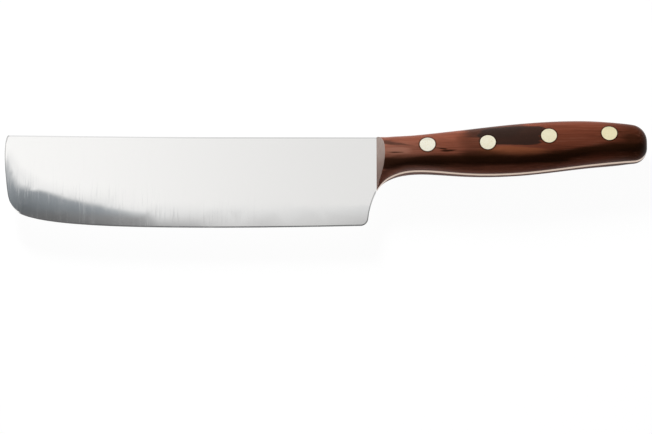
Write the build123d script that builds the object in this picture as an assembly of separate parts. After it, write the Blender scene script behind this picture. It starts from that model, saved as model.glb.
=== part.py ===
from build123d import *
from build123d.topology import SkipClean
import os
from math import cos, pi, sin, sqrt

# A full-tang nakiri: one piece of steel for blade and tang, two wooden scales, and four two-part brass rivets.
# While it is modelled, X runs along the knife with 0 at the scales' front line, the tip at -X and the butt at +X.
# Y is 0 at the straight spine, with the cutting edge at -Y. Z is 0 at the middle of the steel.

# Steel
blade_length = 170.0
blade_height = 44.4
steel_thickness = 2.0
spine_lift = 0.85
tip_corner_radius = 1.0
heel_corner_radius = 3.8
edge_thickness = 0.34
front_thickness = 1.1
apex_thickness = 0.04
bevel_width = 0.62

# Wooden scales
handle_length = 123.7
handle_height = 23.35
handle_width = 18.4
front_slant = 3.7
front_rise = 6.5
butt_top_radius = 6.9
butt_belly_radius = 5.6
butt_side_radius = 5.5

# Brass rivets
rivet_head_diameter = 7.1
rivet_head_thickness = 2.6
rivet_barrel_diameter = 5.2
rivet_post_diameter = 3.4
rivet_gap = 0.4
rivet_clearance = 0.03

# How far cutting tools run past what they cut, and how closely their curved sheets follow their points
overrun = 5.0
sheet_tolerance = 0.001

# The edge from the heel along the cutting edge and up the front to the spine. Each row holds shares of the
# blade's length and height for a point on the edge, then shares of the blade's length and of the depth of the
# scales' front foot for the point where the grind towards it starts, and last how far the cutting edge has
# given way to the blunt front there, from 0 to 1.
edge_shares = (
    (0.0237, 0.978, 0.0237, 1.015, 0.0),
    (0.1100, 0.986, 0.1100, 1.015, 0.0),
    (0.2500, 0.995, 0.2500, 1.015, 0.0),
    (0.4000, 1.000, 0.4000, 1.015, 0.0),
    (0.5400, 0.998, 0.5400, 1.005, 0.0),
    (0.7000, 0.984, 0.6900, 0.970, 0.0),
    (0.8060, 0.959, 0.7880, 0.910, 0.0),
    (0.8868, 0.921, 0.8530, 0.835, 0.0),
    (0.9343, 0.878, 0.8870, 0.768, 0.0),
    (0.9645, 0.822, 0.9100, 0.700, 0.05),
    (0.9826, 0.727, 0.9320, 0.607, 0.16),
    (0.9925, 0.560, 0.9540, 0.480, 0.40),
    (0.9993, 0.290, 0.9770, 0.278, 0.80),
    (0.9997, 0.110, 0.9860, 0.101, 0.95),
    (0.9947, 0.000, 0.9880, 0.000, 1.0),
)
spine_straight_share = 0.52

# Two points up the back of the heel, as shares of the way from the scales' front foot to the heel's corner
heel_back_shares = ((0.750, 0.502), (0.308, 0.168))

# The grind falls with this share of a straight slope and the rest as a parabola, over rows that run from
# before its start to beyond the edge. The sharpening bevel's rows are shares of its width, inwards.
grind_slope_share = 0.16
grind_row_shares = (-0.30, -0.15, 0.0, 0.15, 0.30, 0.45, 0.60, 0.75, 0.90, 1.05, 1.25)
bevel_row_shares = (-1.0, 0.0, 1.0, 2.0, 3.0)

# Stations along the handle, from the front line: share of the length, then the spine and belly as shares of the
# height, the half width as a share of the whole width, the crown's place as a share of the way from spine to
# belly, and the powers of the section's curve above and below the crown
station_shares = (
    (-0.0100, -0.009, -1.245, 0.400, 0.34, 1.9, 1.4),
    (0.0000, -0.009, -1.128, 0.404, 0.34, 1.9, 1.45),
    (0.0130, -0.014, -1.022, 0.408, 0.36, 1.85, 1.6),
    (0.0290, -0.018, -0.926, 0.412, 0.39, 1.85, 2.1),
    (0.0560, -0.012, -0.827, 0.418, 0.41, 1.9, 2.8),
    (0.0900, -0.006, -0.752, 0.426, 0.44, 2.0, 3.5),
    (0.1450, 0.014, -0.709, 0.438, 0.46, 2.0, 3.6),
    (0.2150, 0.055, -0.719, 0.454, 0.47, 2.0, 3.3),
    (0.3200, 0.120, -0.768, 0.476, 0.48, 2.1, 2.7),
    (0.4400, 0.199, -0.782, 0.494, 0.49, 2.15, 2.45),
    (0.5600, 0.265, -0.744, 0.500, 0.49, 2.15, 2.4),
    (0.6800, 0.304, -0.664, 0.492, 0.49, 2.15, 2.5),
    (0.8000, 0.304, -0.579, 0.474, 0.49, 2.15, 2.8),
    (0.9000, 0.262, -0.525, 0.446, 0.49, 2.2, 2.9),
    (1.0000, 0.196, -0.482, 0.410, 0.49, 2.2, 1.9),
)

# The butt's quarter rounds take at most this share of the height or half width that they round
butt_round_share = 0.48
side_round_share = 0.90

# Rivets: share of the handle's length, and share of the way down from spine to belly there
rivet_shares = ((0.1877, 0.417), (0.4104, 0.447), (0.6360, 0.405), (0.8591, 0.392))

section_steps = 6
butt_steps = 7
bevel_steps = 60


def station_at(share):
    """The station's values at a share of the handle's length, between two rows of the table."""
    for near, far in zip(station_shares, station_shares[1:]):
        if share <= far[0]:
            break
    part = (share - near[0]) / (far[0] - near[0])
    return tuple(a + part * (b - a) for a, b in zip(near, far))


def front_line():
    """Top and foot of the line where the scales' flat sides begin."""
    _, spine, belly, *_ = station_at(0)
    return Vector(0, spine * handle_height), Vector(0, belly * handle_height)


def edge_points():
    """Points along the edge, from the heel round to the tip's top."""
    return [Vector(-along * blade_length, -down * blade_height) for along, down, *_ in edge_shares]


def grind_starts():
    """The point where the grind towards each edge point starts, clear below the scales."""
    _, foot = front_line()
    return [Vector(-along * blade_length, down * foot.Y) for _, _, along, down, _ in edge_shares]


def past_both_ends(points):
    """The same line of points, run on beyond the back of the heel and beyond the spine."""
    heel, *_ = edge_points()
    reach = overrun + abs(heel.X)
    first = points[0] + (points[0] - points[1]).normalized() * reach
    last = points[-1] + (points[-1] - points[-2]).normalized() * reach
    return [first, *points, last]


def fronts_past_both_ends():
    """How far the cutting edge has given way to the blunt front, at each point of those lines."""
    fronts = [row[-1] for row in edge_shares]
    return [fronts[0], *fronts, fronts[-1]]


def blade_outline():
    """Flat outline of the blade ahead of the scales."""
    front_top, foot = front_line()
    spine_bend = Vector(-spine_straight_share * blade_length, 0)
    heel, *edge, tip = edge_points()
    tip += Vector(0, spine_lift)
    heel_back = [foot + Vector(along * heel.X, down * (heel.Y - foot.Y)) for along, down in heel_back_shares]
    outline = make_face(
        Curve()
        + [
            Line(front_top, spine_bend),
            Spline(spine_bend, tip, tangents=(spine_bend - front_top, tip - spine_bend)),
            Spline(tip, *reversed(edge), heel),
            Spline(heel, *heel_back, foot),
            Line(foot, front_top),
        ]
    )
    outline = fillet(outline.vertices().sort_by_distance(heel)[0], heel_corner_radius)
    return fillet(outline.vertices().sort_by_distance(tip)[0], tip_corner_radius)


def grind_height(row_share, front_share):
    """Half the steel's thickness, at a share of the way from the grind's start to the edge."""
    edge_half = (edge_thickness + front_share * (front_thickness - edge_thickness)) / 2
    fall = grind_slope_share * row_share + (1 - grind_slope_share) * max(row_share, 0) ** 2
    return steel_thickness / 2 - fall * (steel_thickness / 2 - edge_half)


def above_sheet(rows):
    """Solid that stands on a curved sheet through rows of points, and so cuts away what is above it."""
    sheet = Face.make_surface_from_array_of_points(rows, tol=sheet_tolerance)
    return Solid.extrude(sheet, Vector(0, 0, steel_thickness + overrun))


def grind_tool():
    """What the convex grind takes off one side of the blade."""
    edges = past_both_ends(edge_points())
    starts = past_both_ends(grind_starts())
    fronts = fronts_past_both_ends()
    rows = []
    for row_share in grind_row_shares:
        row = []
        for edge, start, front in zip(edges, starts, fronts):
            place = start + (edge - start) * row_share
            row.append(place + Vector(0, 0, grind_height(row_share, front)))
        rows.append(row)
    return above_sheet(rows)


def front_share_near(place):
    """How far the cutting edge has given way to the blunt front, at a place on the edge."""
    edges = past_both_ends(edge_points())
    fronts = fronts_past_both_ends()
    for near, far, near_front, far_front in zip(edges, edges[1:], fronts, fronts[1:]):
        part = (place - near).dot(far - near) / (far - near).length ** 2
        if part <= 1:
            break
    return near_front + min(max(part, 0), 1) * (far_front - near_front)


def bevel_tool():
    """What sharpening takes off one side: a narrow bevel that fades out up the blunt front."""
    edge_line = Spline(*past_both_ends(edge_points()))
    grind_width = (edge_points()[0] - grind_starts()[0]).length
    rise = grind_height(1 - bevel_width / grind_width, 0) - apex_thickness / 2
    rows = []
    for row_share in bevel_row_shares:
        row = []
        for step in range(bevel_steps + 1):
            place = edge_line @ (step / bevel_steps)
            inward = (edge_line % (step / bevel_steps)).rotate(Axis.Z, -90)
            height = apex_thickness / 2 + row_share * rise + front_share_near(place) * front_thickness
            row.append(place + inward * row_share * bevel_width + Vector(0, 0, height))
        rows.append(row)
    return above_sheet(rows)


def half_section(x, spine, belly, half_width, crown_share, upper_power, lower_power):
    """Closed section of one scale: flat against the tang and crowned outside."""
    inner = steel_thickness / 2
    crown = spine + crown_share * (belly - spine)
    bulge = half_width - inner
    points = []
    for step in range(section_steps):
        angle = pi / 2 * step / section_steps
        y = crown + (spine - crown) * cos(angle) ** (2 / upper_power)
        z = inner + bulge * sin(angle) ** (2 / upper_power)
        points.append(Vector(x, y, z))
    for step in range(section_steps):
        angle = pi / 2 * step / section_steps
        y = crown + (belly - crown) * sin(angle) ** (2 / lower_power)
        z = inner + bulge * cos(angle) ** (2 / lower_power)
        points.append(Vector(x, y, z))
    points.append(Vector(x, belly, inner))
    return Wire([Spline(*points), Line(points[-1], points[0])])


def butt_radii():
    """Radii of the butt's rounding at its top, its belly and its sides, where they have room."""
    _, spine, belly, half_width, *_ = station_shares[-1]
    most = butt_round_share * (spine - belly) * handle_height
    most_side = side_round_share * (half_width * handle_width - steel_thickness / 2)
    return min(butt_top_radius, most), min(butt_belly_radius, most), min(butt_side_radius, most_side)


def round_fall(left, radius):
    """How far a quarter round has fallen where this much of the handle's length is left."""
    reach = min(max(radius - left, 0), radius)
    return radius - sqrt(radius**2 - reach**2)


def handle_section(x):
    """Half section of the handle at x, with the butt's rounding taken off."""
    _, spine, belly, half_width, *shape = station_at(x / handle_length)
    left = max(handle_length - x, 0)
    top_fall, belly_fall, side_fall = (round_fall(left, radius) for radius in butt_radii())
    return half_section(
        x,
        spine * handle_height - top_fall,
        belly * handle_height + belly_fall,
        half_width * handle_width - side_fall,
        *shape,
    )


def scale_blank():
    """One scale, shaped all round, before its front is slanted and its rivets are sunk."""
    butt_start = handle_length - max(butt_radii())
    places = [row[0] * handle_length for row in station_shares]
    places = [x for x in places if x < butt_start]
    for step in range(butt_steps + 1):
        places.append(butt_start + (handle_length - butt_start) * sin(pi / 2 * step / butt_steps))
    return Solid.make_loft([handle_section(x) for x in places])


def front_tool():
    """What is cut from a scale's front, to leave flat end grain that slants back from the steel."""
    inner = steel_thickness / 2
    lean = front_slant / front_rise
    low = inner - overrun
    profile = Polyline(
        (lean * (low - inner), 0, low),
        (lean * (handle_width - inner), 0, handle_width),
        (-handle_width, 0, handle_width),
        (-handle_width, 0, low),
        close=True,
    )
    return extrude(make_face(profile), handle_height + blade_height, both=True)


def upright(radius, x, y, low, high):
    """A round bar square to the steel, between two heights."""
    return Pos(x, y, (low + high) / 2) * Cylinder(radius, high - low)


def rivet_places():
    """Each rivet's x and y, and the height of its heads' seats above the middle of the steel."""
    places = []
    for length_share, down_share in rivet_shares:
        _, spine, belly, half_width, *_ = station_at(length_share)
        y = (spine + down_share * (belly - spine)) * handle_height
        seat = half_width * handle_width - rivet_head_thickness
        places.append((length_share * handle_length, y, seat))
    return places


def blade_and_tang(scale_side):
    """The steel: the ground blade, and a tang with the outline of the scales' flat sides.

    The seam between their faces stays, so that the blade's flats end where the scales begin.
    """
    blade = extrude(blade_outline(), steel_thickness / 2, both=True)
    for tool in (grind_tool(), bevel_tool()):
        blade = blade - tool - mirror(tool, about=Plane.XY)
    with SkipClean():
        steel = blade + Solid.extrude(Face(scale_side.outer_wire()), Vector(0, 0, -steel_thickness))
        for x, y, _ in rivet_places():
            steel -= upright(rivet_barrel_diameter / 2 + rivet_clearance, x, y, -overrun, overrun)
    return steel


def sunk_scale(scale):
    """The scale with a hole and a head's seat for each rivet."""
    for x, y, seat in rivet_places():
        scale -= upright(rivet_barrel_diameter / 2 + rivet_clearance, x, y, 0, handle_width)
        scale -= upright(rivet_head_diameter / 2 + rivet_clearance, x, y, seat, handle_width)
    return scale


def rivet_head(blank, x, y, seat):
    """A rivet's head above its seat, ground flush with the wood."""
    return upright(rivet_head_diameter / 2, x, y, seat, handle_width) & blank


def rivet_post(blank, x, y, seat):
    """Male half: a head with a solid post that stops just above the barrel's floor."""
    post = upright(rivet_post_diameter / 2, x, y, rivet_gap - seat, seat)
    return rivet_head(blank, x, y, seat) + post


def rivet_barrel(blank, x, y, seat):
    """Female half, from the other side: a head with a barrel that stops just short of the post's head."""
    head = mirror(rivet_head(blank, x, y, seat), about=Plane.XY)
    barrel = upright(rivet_barrel_diameter / 2, x, y, -seat, seat - rivet_gap)
    bore = upright(rivet_post_diameter / 2 + rivet_clearance, x, y, -seat, seat)
    return head + (barrel - bore)


blank = scale_blank()
scale = blank - front_tool()
left_scale = sunk_scale(scale)

pieces = {
    "blade": blade_and_tang(scale.faces().sort_by(Axis.Z)[0]),
    "handle_scale_left": left_scale,
    "handle_scale_right": mirror(left_scale, about=Plane.XY),
}
for number, place in enumerate(rivet_places(), start=1):
    pieces[f"rivet_{number}_post"] = rivet_post(blank, *place)
    pieces[f"rivet_{number}_barrel"] = rivet_barrel(blank, *place)

# The origin goes under the middle of the knife as it lies on its side
box = Compound(children=[Part() + piece for piece in pieces.values()]).bounding_box()
to_origin = Pos(-box.center().X, -box.center().Y, -box.min.Z)
print("origin is at", box.center().X, box.center().Y, box.min.Z, "size", box.size)

os.makedirs("parts", exist_ok=True)
for name, piece in pieces.items():
    export_step(to_origin * piece, f"parts/{name}.step")
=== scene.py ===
import math

import bmesh
import bpy
from mathutils import Matrix, Vector


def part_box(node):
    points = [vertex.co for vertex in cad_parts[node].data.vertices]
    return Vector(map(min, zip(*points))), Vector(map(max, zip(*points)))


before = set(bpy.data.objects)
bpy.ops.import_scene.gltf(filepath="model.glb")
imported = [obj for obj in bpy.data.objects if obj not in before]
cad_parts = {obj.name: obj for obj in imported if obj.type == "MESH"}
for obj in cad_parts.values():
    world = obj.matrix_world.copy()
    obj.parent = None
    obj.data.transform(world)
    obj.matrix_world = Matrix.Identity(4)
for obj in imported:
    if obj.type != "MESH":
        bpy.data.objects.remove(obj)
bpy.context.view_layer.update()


# Blade and tang: one piece of stainless steel, ground thin towards the edge and rubbed across with fine
# belts, so that what it mirrors is drawn out along it. The narrow faces at its front and heel are darkened
# with painted shade, and a line along its spine's corner is a little darker. The tang's rim has a painted
# reflection, dimmer and warmer than the steel.
steel_colour = (0.875, 0.869, 0.857, 1)
spine_corner_colour = (0.74, 0.74, 0.735, 1)
narrow_face_shade = (0.28, 0.277, 0.272, 1)
tang_rim_reflection = (0.60, 0.46, 0.37, 1)
steel_stretch = 0.60
belt_mark_grain = ((0.00045, 0.014, 0.014), 4.0)
belt_mark_depth = 0.00000005
belt_mark_roughness = (0.50, 0.74, 0.065, 0.150)
front_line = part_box("handle_scale_left")[0].x
tang_start = (front_line - 0.0001, front_line + 0.0003)
spine_line = (-0.050, -0.146, 0.01837, 0.01942)
spine_corner_fade = (0.0009, 0.0004)
narrow_face_fade = (0.00060, 0.00030)
heel_top = -0.00777
heel_top_fade = (0.0, 0.001)
heel_hollow = (-13.10, 0.4600)
heel_strength = (0.002, 0.014, 0.72, 1.0)
heel_corner = Vector((0.01552, -0.02114, 0))
heel_corner_radius = 0.00380
heel_corner_start = (heel_corner.x, heel_corner.x + 0.0015)
blade_front = -0.14687
front_middle = 0.0105
front_bow = 4.3
front_strength = (0.0, 0.64)


def new_material(name):
    """A new material, its recipe of nodes and the shader in it."""
    material = bpy.data.materials.new(name)
    material.use_nodes = True
    return material, material.node_tree, material.node_tree.nodes["Principled BSDF"]


def places(recipe):
    """Where on the object each point of the surface lies, in metres."""
    return recipe.nodes.new("ShaderNodeTexCoord").outputs["Object"]


def join(recipe, socket, term):
    """Sets a socket to a plain value, or links it to another socket."""
    if isinstance(term, (int, float, tuple)):
        socket.default_value = term
    else:
        recipe.links.new(term, socket)


def split(recipe, vector):
    """A vector's X, Y and Z."""
    apart = recipe.nodes.new("ShaderNodeSeparateXYZ")
    recipe.links.new(vector, apart.inputs["Vector"])
    return apart.outputs


def whole(recipe, x, y, z):
    """The vector that has this X, Y and Z."""
    vector = recipe.nodes.new("ShaderNodeCombineXYZ")
    for socket, term in zip(vector.inputs, (x, y, z)):
        join(recipe, socket, term)
    return vector.outputs["Vector"]


def reckon(recipe, operation, *terms):
    """One arithmetic operation over sockets and plain numbers."""
    node = recipe.nodes.new("ShaderNodeMath")
    node.operation = operation
    for socket, term in zip(node.inputs, terms):
        join(recipe, socket, term)
    return node.outputs["Value"]


def chain(recipe, operation, result, *others):
    """The same operation over one term after another."""
    for other in others:
        result = reckon(recipe, operation, result, other)
    return result


def spread(recipe, value, low, high, to_low=0.0, to_high=1.0, kind="SMOOTHSTEP"):
    """The value's stretch from low to high, mapped to another. The fades and lines hold these numbers."""
    span = recipe.nodes.new("ShaderNodeMapRange")
    span.interpolation_type = kind
    ends = {"From Min": low, "From Max": high, "To Min": to_low, "To Max": to_high}
    join(recipe, span.inputs["Value"], value)
    for name, end in ends.items():
        join(recipe, span.inputs[name], end)
    return span.outputs["Result"]


def grains(recipe, vector, sizes, detail, distortion=0.0):
    """Noise whose grains have these sizes along X, Y and Z, in metres."""
    mapping = recipe.nodes.new("ShaderNodeMapping")
    mapping.inputs["Scale"].default_value = [1 / size for size in sizes]
    recipe.links.new(vector, mapping.inputs["Vector"])
    noise = recipe.nodes.new("ShaderNodeTexNoise")
    noise.inputs["Scale"].default_value = 1.0
    noise.inputs["Detail"].default_value = detail
    noise.inputs["Distortion"].default_value = distortion
    recipe.links.new(mapping.outputs["Vector"], noise.inputs["Vector"])
    return noise.outputs["Fac"]


def distance(recipe, x, y, spot):
    """How far a place lies from a spot, seen from above."""
    gap = recipe.nodes.new("ShaderNodeVectorMath")
    gap.operation = "DISTANCE"
    recipe.links.new(whole(recipe, x, y, 0.0), gap.inputs[0])
    gap.inputs[1].default_value = spot
    return gap.outputs["Value"]


def overlay(recipe, share, under, over):
    """One colour laid over another by a share."""
    mix = recipe.nodes.new("ShaderNodeMix")
    mix.data_type = "RGBA"
    named = {socket.identifier: socket for socket in mix.inputs}
    join(recipe, named["Factor_Float"], share)
    join(recipe, named["A_Color"], under)
    join(recipe, named["B_Color"], over)
    return next(socket for socket in mix.outputs if socket.identifier == "Result_Color")


def bumps(recipe, shader, height, depth):
    """Raises a shader's surface by a height, in metres at its full value."""
    bump = recipe.nodes.new("ShaderNodeBump")
    bump.inputs["Distance"].default_value = depth
    recipe.links.new(height, bump.inputs["Height"])
    recipe.links.new(bump.outputs["Normal"], shader.inputs["Normal"])


def dress(material, *names):
    """Gives the CAD nodes this material."""
    for name in names:
        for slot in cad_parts[name].material_slots:
            slot.material = material


steel, recipe, shader = new_material("belted_steel")
place = places(recipe)
x, y, _ = split(recipe, place)

# The corner of the spine
off_spine = reckon(recipe, "SUBTRACT", spread(recipe, x, *spine_line, kind="LINEAR"), y)
colour = overlay(recipe, spread(recipe, off_spine, *spine_corner_fade), steel_colour, spine_corner_colour)

# Painted shade on the narrow face at the heel: down its hollow back, then round its lower corner
down = reckon(recipe, "SUBTRACT", heel_top, y)
hollow = reckon(recipe, "MULTIPLY", down, reckon(recipe, "MULTIPLY_ADD", down, *heel_hollow))
off_back = chain(recipe, "SUBTRACT", front_line, x, hollow)
on_back = spread(recipe, off_back, *narrow_face_fade)
on_back = reckon(recipe, "MULTIPLY", on_back, spread(recipe, down, *heel_top_fade))
off_corner = reckon(recipe, "SUBTRACT", heel_corner_radius, distance(recipe, x, y, heel_corner))
on_corner = spread(recipe, off_corner, *narrow_face_fade)
on_corner = reckon(recipe, "MULTIPLY", on_corner, spread(recipe, x, *heel_corner_start))
on_corner = reckon(recipe, "MULTIPLY", on_corner, reckon(recipe, "LESS_THAN", y, heel_corner.y))
on_heel = reckon(recipe, "MAXIMUM", on_back, on_corner)
on_heel = reckon(recipe, "MULTIPLY", on_heel, spread(recipe, down, *heel_strength))

# Painted shade on the narrow face at the blunt front, which is slightly bowed
off_middle = reckon(recipe, "SUBTRACT", y, front_middle)
squared = reckon(recipe, "MULTIPLY", off_middle, off_middle)
off_front = reckon(recipe, "SUBTRACT", reckon(recipe, "MULTIPLY_ADD", squared, -front_bow, x), blade_front)
on_front = spread(recipe, off_front, *narrow_face_fade, *front_strength)

# Painted shade: the narrow faces at heel and front are coloured dark
colour = overlay(recipe, reckon(recipe, "MAXIMUM", on_heel, on_front), colour, narrow_face_shade)
# Painted reflection: the tang's rim is coloured dimmer and warmer than the steel
colour = overlay(recipe, spread(recipe, x, *tang_start), colour, tang_rim_reflection)
belt_marks = grains(recipe, place, *belt_mark_grain)
recipe.links.new(colour, shader.inputs["Base Color"])
recipe.links.new(spread(recipe, belt_marks, *belt_mark_roughness), shader.inputs["Roughness"])
recipe.links.new(whole(recipe, 1.0, 0.0, 0.0), shader.inputs["Tangent"])
shader.inputs["Metallic"].default_value = 1.0
shader.inputs["Anisotropic"].default_value = steel_stretch
bumps(recipe, shader, belt_marks, belt_mark_depth)
dress(steel, "blade")


# Handle scales: two slabs of dark reddish hardwood, shaped and sanded as one with the tang and then oiled.
# Their grain fans out towards the blade. A charcoal figure lies between the second and the third rivet
# over an ember streak, a dark band along the belly is partly heartwood and partly painted shade, the
# dark rings round the rivets are painted shade, and the slanted fronts are end grain.
wood_front = (0.240, 0.088, 0.057, 1)
wood_red = (0.205, 0.062, 0.036, 1)
wood_brown = (0.146, 0.038, 0.020, 1)
wood_butt = (0.066, 0.017, 0.008, 1)
wood_charcoal = (0.021, 0.0135, 0.011, 1)
wood_ember = (0.270, 0.084, 0.036, 1)
wood_pale = (0.420, 0.200, 0.140, 1)
# The dark heartwood colour, also used as painted shade in the band along the belly and in the rings round
# the rivets
wood_heart_and_shade = (0.011, 0.0035, 0.001, 1)
wood_end_grain = (0.330, 0.265, 0.235, 1)
wood_end_foot = (0.180, 0.128, 0.110, 1)
wood_tones = ((0.24, wood_red), (0.40, wood_red), (0.64, wood_brown), (0.82, wood_brown), (0.93, wood_butt))
wood_tone_start = 0.10
wood_roughness = 0.38
wood_gloss = 0.12
wood_ior = 1.38
wood_gloss_tint = (1.0, 0.50, 0.28, 1)
pore_depth = 0.00002

# The noises of the wood: the sizes of the grains, the detail and the distortion
wander_grain = ((0.030, 0.006, 0.006), 3.0, 0.3)
feather_grain = ((0.015, 0.0008, 0.0008), 4.0)
band_grain = ((0.045, 0.0016, 0.0016), 5.0, 0.5)
line_grain = ((0.020, 0.0005, 0.0005), 4.0, 0.2)
pore_grain = ((0.0035, 0.00025, 0.00025), 2.0)
fibre_grain = ((0.00035, 0.0030, 0.00035), 2.0)
wander_reach_x = 0.008
wander_reach_y = 0.0045
feather_reach = 0.004
fan_middle = 0.010
fan_width = (0.050, front_line, 1.0, 0.55)
dark_bands = (0.50, 0.75, 0.0, 0.45)
dark_lines = (0.48, 0.78, 0.0, 0.38)
pale_lines = (0.48, 0.25, 0.0, 0.14)
end_fibres = (0.40, 0.75, 0.0, 0.30)

# Each figure's shade, strength, middle, half length, half height, slope, softness and squareness
figures = (
    (wood_brown, 0.60, (0.0400, 0.0190), 0.0240, 0.0042, 0.10, 0.60, 2.0),
    (wood_ember, 0.70, (0.0855, 0.0085), 0.0155, 0.0019, 0.00, 0.60, 2.0),
    (wood_heart_and_shade, 0.42, (0.0690, 0.0150), 0.0080, 0.0120, 0.00, 0.75, 2.0),
    (wood_charcoal, 0.62, (0.0760, 0.0203), 0.0130, 0.0055, 0.00, 0.60, 3.0),
    (wood_charcoal, 0.92, (0.0848, 0.0160), 0.0148, 0.0047, 0.03, 0.35, 5.0),
    (wood_heart_and_shade, 0.60, (0.0715, 0.0068), 0.0100, 0.0020, 0.00, 0.70, 2.0),
    (wood_charcoal, 0.65, (0.0305, 0.0135), 0.0080, 0.0010, -0.21, 0.80, 2.0),
    (wood_pale, 0.35, (0.0315, 0.0086), 0.0062, 0.0018, -0.05, 0.80, 2.0),
    (wood_heart_and_shade, 0.80, (0.0307, 0.0075), 0.0030, 0.0003, -0.02, 0.80, 2.0),
    (wood_heart_and_shade, 0.90, (0.0525, 0.0098), 0.0030, 0.0004, -0.15, 0.80, 2.0),
    (wood_heart_and_shade, 0.90, (0.0560, 0.0088), 0.0035, 0.0004, 0.05, 0.80, 2.0),
    (wood_heart_and_shade, 0.50, (0.1395, 0.0150), 0.0045, 0.0022, 0.00, 0.80, 2.0),
)

# Where the dark band along the belly runs, partly heartwood and partly painted shade, and how it fades
# above and below
heart_and_shade_line = (0.028, 0.060, 0.0032, 0.0044)
heart_and_shade_rise = (0.085, 0.140, 0.0, 0.0058)
heart_and_shade_above = (0.0042, 0.0010, 0.0, 0.93)
heart_and_shade_below = (-0.0029, -0.0008)
heart_and_shade_foot = (0.030, 0.055, 0.05, 0.30)

# The rings of painted shade round the rivets, and the slanted fronts
rivet_names = [f"rivet_{number}" for number in (1, 2, 3, 4)]
rivet_gap_shade = (0.00450, 0.00365, 0.0, 0.75)
butt_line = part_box("handle_scale_left")[1].x
tang_middle = sum(corner.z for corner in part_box("blade")) / 2
tang_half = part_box("handle_scale_left")[0].z - tang_middle
front_slant = 0.0037
front_rise = 0.0065
front_rim = (0.00012, 0.00002)
end_grain_fall = (0.013, -0.002)


def sway(recipe, vector, grain):
    """Noise that swings about zero."""
    return reckon(recipe, "SUBTRACT", grains(recipe, vector, *grain), 0.5)


def figured(recipe, x, y, middle, half_length, half_height, slope, softness, squareness):
    """A soft-edged share about a place on the side of the handle, sloping along the grain."""
    along = reckon(recipe, "SUBTRACT", x, middle[0])
    up = reckon(recipe, "SUBTRACT", y, middle[1])
    up = reckon(recipe, "MULTIPLY_ADD", along, -slope, up)
    along = reckon(recipe, "ABSOLUTE", reckon(recipe, "DIVIDE", along, half_length))
    up = reckon(recipe, "ABSOLUTE", reckon(recipe, "DIVIDE", up, half_height))
    along = reckon(recipe, "POWER", along, squareness)
    up = reckon(recipe, "POWER", up, squareness)
    return spread(recipe, reckon(recipe, "ADD", along, up), 1 + softness, 1 - softness)


wood, recipe, shader = new_material("oiled_wood")
place = places(recipe)
x, y, z = split(recipe, place)
wander = sway(recipe, place, wander_grain)
wavy_x = reckon(recipe, "MULTIPLY_ADD", wander, wander_reach_x, x)
wavy_y = reckon(recipe, "MULTIPLY_ADD", wander, wander_reach_y, y)
ragged_x = reckon(recipe, "MULTIPLY_ADD", sway(recipe, place, feather_grain), feather_reach, wavy_x)

# The tone along the handle
tone = recipe.nodes.new("ShaderNodeValToRGB")
tone.color_ramp.elements[0].position = wood_tone_start
tone.color_ramp.elements[0].color = wood_front
tone.color_ramp.elements[1].position, tone.color_ramp.elements[1].color = wood_tones[-1]
for position, shade in wood_tones[:-1]:
    tone.color_ramp.elements.new(position).color = shade
recipe.links.new(spread(recipe, ragged_x, front_line, butt_line, kind="LINEAR"), tone.inputs["Fac"])
colour = tone.outputs["Color"]

# Growth lines and pores, fanned out near the front
off_fan = reckon(recipe, "SUBTRACT", y, fan_middle)
fanned_y = reckon(recipe, "MULTIPLY", off_fan, spread(recipe, x, *fan_width))
fanned = whole(recipe, x, fanned_y, z)
bands = grains(recipe, fanned, *band_grain)
lines = grains(recipe, fanned, *line_grain)
pores = grains(recipe, fanned, *pore_grain)
colour = overlay(recipe, spread(recipe, bands, *dark_bands), colour, wood_heart_and_shade)
colour = overlay(recipe, spread(recipe, lines, *dark_lines), colour, wood_heart_and_shade)
colour = overlay(recipe, spread(recipe, lines, *pale_lines), colour, wood_pale)

# The ember streak, the charcoal over it, a darker patch under the second rivet and the strands of the fan
for shade, strength, *form in figures:
    share = figured(recipe, ragged_x, wavy_y, *form)
    colour = overlay(recipe, reckon(recipe, "MULTIPLY", share, strength), colour, shade)

# The dark band along the belly: partly heartwood, partly painted shade where the belly turns away from the
# light. Its line rises with the belly towards the butt
line = reckon(recipe, "ADD", spread(recipe, x, *heart_and_shade_rise), spread(recipe, x, *heart_and_shade_line))
off_line = reckon(recipe, "SUBTRACT", wavy_y, line)
above = spread(recipe, off_line, *heart_and_shade_above)
below = spread(recipe, off_line, *heart_and_shade_below, spread(recipe, x, *heart_and_shade_foot), 1.0)
colour = overlay(recipe, reckon(recipe, "MULTIPLY", above, below), colour, wood_heart_and_shade)

# Painted shade: a dark ring round each rivet, where the gap between brass and wood lies in shade
gaps = []
for name in rivet_names:
    low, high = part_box(name + "_post")
    middle = (low + high) / 2
    gaps.append(distance(recipe, x, y, (middle.x, middle.y, 0)))
nearest = chain(recipe, "MINIMUM", *gaps)
colour = overlay(recipe, spread(recipe, nearest, *rivet_gap_shade), colour, wood_heart_and_shade)

# End grain on the two fronts, which lean back from the tang
off_tang = reckon(recipe, "ABSOLUTE", reckon(recipe, "SUBTRACT", z, tang_middle))
lean = reckon(recipe, "MULTIPLY", reckon(recipe, "SUBTRACT", off_tang, tang_half), front_slant / front_rise)
depth = reckon(recipe, "SUBTRACT", reckon(recipe, "SUBTRACT", x, front_line), lean)
fibres = grains(recipe, place, *fibre_grain)
end_grain = overlay(recipe, spread(recipe, y, *end_grain_fall), wood_end_grain, wood_end_foot)
end_grain = overlay(recipe, spread(recipe, fibres, *end_fibres), end_grain, wood_brown)
colour = overlay(recipe, spread(recipe, depth, *front_rim), colour, end_grain)

recipe.links.new(colour, shader.inputs["Base Color"])
shader.inputs["Roughness"].default_value = wood_roughness
shader.inputs["IOR"].default_value = wood_ior
shader.inputs["Specular IOR Level"].default_value = wood_gloss
shader.inputs["Specular Tint"].default_value = wood_gloss_tint
bumps(recipe, shader, pores, pore_depth)
dress(wood, "handle_scale_left", "handle_scale_right")


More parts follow.
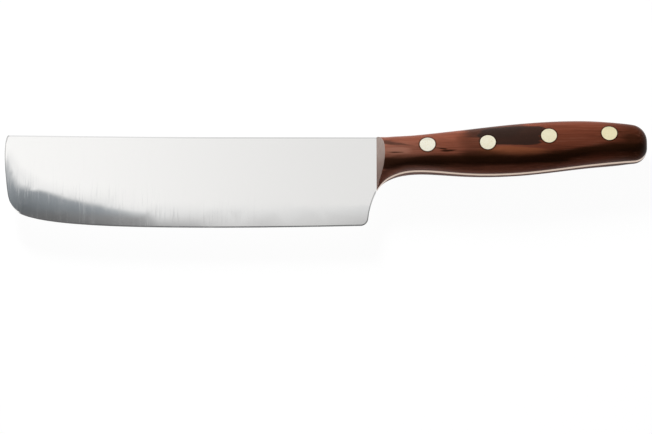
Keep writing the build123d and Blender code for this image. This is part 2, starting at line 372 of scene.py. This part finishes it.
# Rivets: four pairs of brass halves, driven together through scales and tang and sanded flush with the
# wood, which leaves a fine random grain on their heads. They turn yellower towards the butt, and painted
# light makes them paler towards the blade, where the softbox is brighter.
brass_pale_and_lit = (1.00, 0.975, 0.84, 1)
brass_yellow = (0.955, 0.885, 0.58, 1)
brass_shade = (0.84, 0.72, 0.42, 1)
brass_turn_and_light_fall = (0.045, 0.130)
sanding_grain = ((0.0006, 0.0004, 0.0006), 4.0)
sanding_depth = 0.000006
sanding_shade = (0.42, 0.75, 0.0, 0.45)
sanding_roughness = (0.3, 0.7, 0.28, 0.42)

brass, recipe, shader = new_material("sanded_brass")
place = places(recipe)
x, _, _ = split(recipe, place)
sanding = grains(recipe, place, *sanding_grain)
# Painted light and tint: paler heads towards the blade, yellower ones towards the butt
colour = overlay(recipe, spread(recipe, x, *brass_turn_and_light_fall, kind="LINEAR"), brass_pale_and_lit, brass_yellow)
colour = overlay(recipe, spread(recipe, sanding, *sanding_shade), colour, brass_shade)
recipe.links.new(colour, shader.inputs["Base Color"])
recipe.links.new(spread(recipe, sanding, *sanding_roughness), shader.inputs["Roughness"])
shader.inputs["Metallic"].default_value = 1.0
bumps(recipe, shader, sanding, sanding_depth)
dress(brass, *(f"{name}_{half}" for name in rivet_names for half in ("post", "barrel")))


# The floor: a plain white table, which isn't part of the knife. It stays white to the eye and in
# reflections, and keeps a faint shadow.
floor_reach = 40.0
floor_glow = 0.965
floor_shade = 0.05
floor_white = 0.80


def level_sheet(name, half_width, front, back, height):
    """A level sheet for the studio, between a front and a back and at a height."""
    mesh = bpy.data.meshes.new(name)
    form = bmesh.new()
    bmesh.ops.create_grid(form, x_segments=1, y_segments=1, size=1.0)
    bmesh.ops.scale(form, vec=(half_width, (back - front) / 2, 1), verts=form.verts)
    bmesh.ops.translate(form, vec=(0, (front + back) / 2, height), verts=form.verts)
    form.to_mesh(mesh)
    form.free()
    sheet = bpy.data.objects.new(name, mesh)
    bpy.context.scene.collection.objects.link(sheet)
    return sheet


def light_paths(recipe):
    """The kinds of ray that can reach a surface."""
    return recipe.nodes.new("ShaderNodeLightPath").outputs


def seen(recipe, rays):
    """1 where the eye sees a surface, also mirrored or through glass, and 0 where it only gives light."""
    kinds = ("Is Camera Ray", "Is Glossy Ray", "Is Transmission Ray")
    return chain(recipe, "MAXIMUM", *(rays[kind] for kind in kinds))


def glow(recipe, strength, colour=(1, 1, 1, 1)):
    """A surface that shines by itself."""
    shining = recipe.nodes.new("ShaderNodeEmission")
    join(recipe, shining.inputs["Color"], colour)
    join(recipe, shining.inputs["Strength"], strength)
    return shining.outputs["Emission"]


def matt(recipe, tone):
    """A matt grey surface."""
    paint = recipe.nodes.new("ShaderNodeBsdfDiffuse")
    paint.inputs["Color"].default_value = (tone, tone, tone, 1)
    return paint.outputs["BSDF"]


def one_or_other(recipe, share, first, second):
    """Two shaders mixed by the share of the second one."""
    mix = recipe.nodes.new("ShaderNodeMixShader")
    for socket, term in zip(mix.inputs, (share, first, second)):
        recipe.links.new(term, socket)
    return mix.outputs["Shader"]


floor = level_sheet("floor", floor_reach, -floor_reach, floor_reach, 0.0)

white, recipe, shader = new_material("white_table")
recipe.nodes.remove(shader)
both = recipe.nodes.new("ShaderNodeAddShader")
recipe.links.new(glow(recipe, floor_glow), both.inputs[0])
recipe.links.new(matt(recipe, floor_shade), both.inputs[1])
eye = seen(recipe, light_paths(recipe))
table = one_or_other(recipe, eye, matt(recipe, floor_white), both.outputs["Shader"])
recipe.links.new(table, recipe.nodes["Material Output"].inputs["Surface"])
floor.data.materials.append(white)


# The light: a wide softbox above and behind the knife, which the flat of the blade mirrors, brighter to the
# left. Its cloth is dim in front, but for a lit slot and a slanted flap on the right. A lamp lights the
# wood from behind, a weak one fills in from the front, and pale paper stands round the table.
softbox_height = 0.50
softbox_front = -0.25
softbox_back = 1.00
softbox_half_width = 0.70
softbox_grey = (1.00, 1.01, 1.03, 1)
softbox_blue = (0.91, 1.00, 1.08, 1)
blue_fade = (0.102, 0.125)
bright_level = (-0.20, 0.06, 1.08, 0.86)
dim_level = (0.016, 0.058, 0.145, 0.300)
dim_level_left = (-0.132, -0.112, 1.0, 1.22)
back_slope = 0.15
back_dim_line = (-0.190, -0.170, 0.127, 0.134)
back_lit_line = (-0.240, -0.205, 0.147, 0.141)
flap_slope = 0.80
flap_softening = (0.105, 0.140)
flap_dim_line = (0.0, 1.0, 0.020, 0.031)
flap_lit_line = (0.0, 1.0, 0.052, 0.041)
flap_fade_front = (0.060, 0.150, 0.30, 1.0)
flap_fade_right = (0.000, 0.040, 1.0, 0.82)
slot_front_line = (-0.125, -0.080, -0.095, -0.138)
slot_front_fade = (-0.015, 0.0)
slot_back_fade = (0.070, 0.055)
haze_slope = 0.55
haze_left_end = -0.19
haze_fade = (0.070, 0.105)
haze_level = (-0.125, -0.095, 0.84, 1.0)
lamps = (("lamp", Vector((-0.45, 1.23, 0.73)), 39.5), ("fill", Vector((0.10, -1.20, 0.14)), 3.0))
lamp_width = 0.5
room_colour = (0.06, 0.062, 0.066, 1)
paper_white = (1, 1, 1, 1)
paper_level = (-0.95, -0.30, 0.36, 0.704)

softbox = level_sheet("softbox", softbox_half_width, softbox_front, softbox_back, softbox_height)
softbox.visible_camera = False
softbox.visible_diffuse = False
softbox.visible_shadow = False

cloth, recipe, shader = new_material("softbox_cloth")
recipe.nodes.remove(shader)
x, y, _ = split(recipe, places(recipe))

# The bright back part, and the slanted flap that joins it
back_dim = spread(recipe, x, *back_dim_line)
back_lit = spread(recipe, x, *back_lit_line)
back_part = spread(recipe, reckon(recipe, "MULTIPLY_ADD", x, back_slope, y), back_dim, back_lit)
softer = spread(recipe, y, *flap_softening)
flap_dim = spread(recipe, softer, *flap_dim_line)
flap_lit = spread(recipe, softer, *flap_lit_line)
flap = spread(recipe, reckon(recipe, "MULTIPLY_ADD", x, flap_slope, y), flap_dim, flap_lit)
flap = reckon(recipe, "MULTIPLY", flap, spread(recipe, y, *flap_fade_front))
flap = reckon(recipe, "MULTIPLY", flap, spread(recipe, x, *flap_fade_right))

# The lit slot, and the haze over the left of the back part
off_slot = reckon(recipe, "SUBTRACT", y, spread(recipe, x, *slot_front_line))
slot_front = spread(recipe, off_slot, *slot_front_fade)
slot = reckon(recipe, "MULTIPLY", spread(recipe, y, *slot_back_fade), slot_front)
rise = reckon(recipe, "MULTIPLY_ADD", reckon(recipe, "MAXIMUM", x, haze_left_end), haze_slope, y)
haze = spread(recipe, rise, *haze_fade, spread(recipe, x, *haze_level), 1.0)
lit = reckon(recipe, "MULTIPLY", reckon(recipe, "MAXIMUM", back_part, flap), haze)
lit = reckon(recipe, "MAXIMUM", lit, slot)

dimness = spread(recipe, rise, *dim_level, kind="LINEAR")
dimness = reckon(recipe, "MULTIPLY", dimness, spread(recipe, x, *dim_level_left))
dim_colour = overlay(recipe, spread(recipe, y, *blue_fade), softbox_grey, softbox_blue)
dim = glow(recipe, dimness, dim_colour)
bright = glow(recipe, spread(recipe, x, *bright_level))
recipe.links.new(one_or_other(recipe, lit, dim, bright), recipe.nodes["Material Output"].inputs["Surface"])
softbox.data.materials.append(cloth)

for name, spot, power in lamps:
    disk = bpy.data.lights.new(name, "AREA")
    disk.shape = "DISK"
    disk.size = lamp_width
    disk.energy = power
    lamp = bpy.data.objects.new(name, disk)
    lamp.visible_glossy = False
    lamp.matrix_world = Matrix.Translation(spot) @ spot.to_track_quat("Z", "Y").to_matrix().to_4x4()
    bpy.context.scene.collection.objects.link(lamp)

# The paper is white to the camera and greyer in reflections. Everything else gets the light of a dim room.
studio = bpy.data.worlds.new("studio")
studio.use_nodes = True
recipe = studio.node_tree
room = recipe.nodes["Background"]
room.inputs["Color"].default_value = room_colour
paper = recipe.nodes.new("ShaderNodeBackground")
paper.inputs["Color"].default_value = paper_white
rays = light_paths(recipe)
_, y, _ = split(recipe, recipe.nodes.new("ShaderNodeTexCoord").outputs["Generated"])
paper_strength = reckon(recipe, "MAXIMUM", spread(recipe, y, *paper_level), rays["Is Camera Ray"])
recipe.links.new(paper_strength, paper.inputs["Strength"])
walls = one_or_other(recipe, seen(recipe, rays), room.outputs["Background"], paper.outputs["Background"])
recipe.links.new(walls, recipe.nodes["World Output"].inputs["Surface"])
bpy.context.scene.world = studio
bpy.context.scene.view_settings.view_transform = "Standard"


# The camera: far away with a long lens, looking down at the knife's left side.
camera_elevation = math.radians(68)
camera_distance = 3.0
camera_reach = 100
camera_film = 36
view_width = 0.29705
view_centre = Vector((0.00007, -0.02052, 0.00920))

camera_data = bpy.data.cameras.new("camera")
camera_data.sensor_width = camera_film
camera_data.lens = camera_film * camera_distance / view_width
camera_data.clip_end = camera_reach
camera = bpy.data.objects.new("camera", camera_data)
towards_camera = Vector((0, -math.cos(camera_elevation), math.sin(camera_elevation)))
turn = towards_camera.to_track_quat("Z", "Y").to_matrix().to_4x4()
camera.matrix_world = Matrix.Translation(view_centre + towards_camera * camera_distance) @ turn
bpy.context.scene.collection.objects.link(camera)
bpy.context.scene.camera = camera
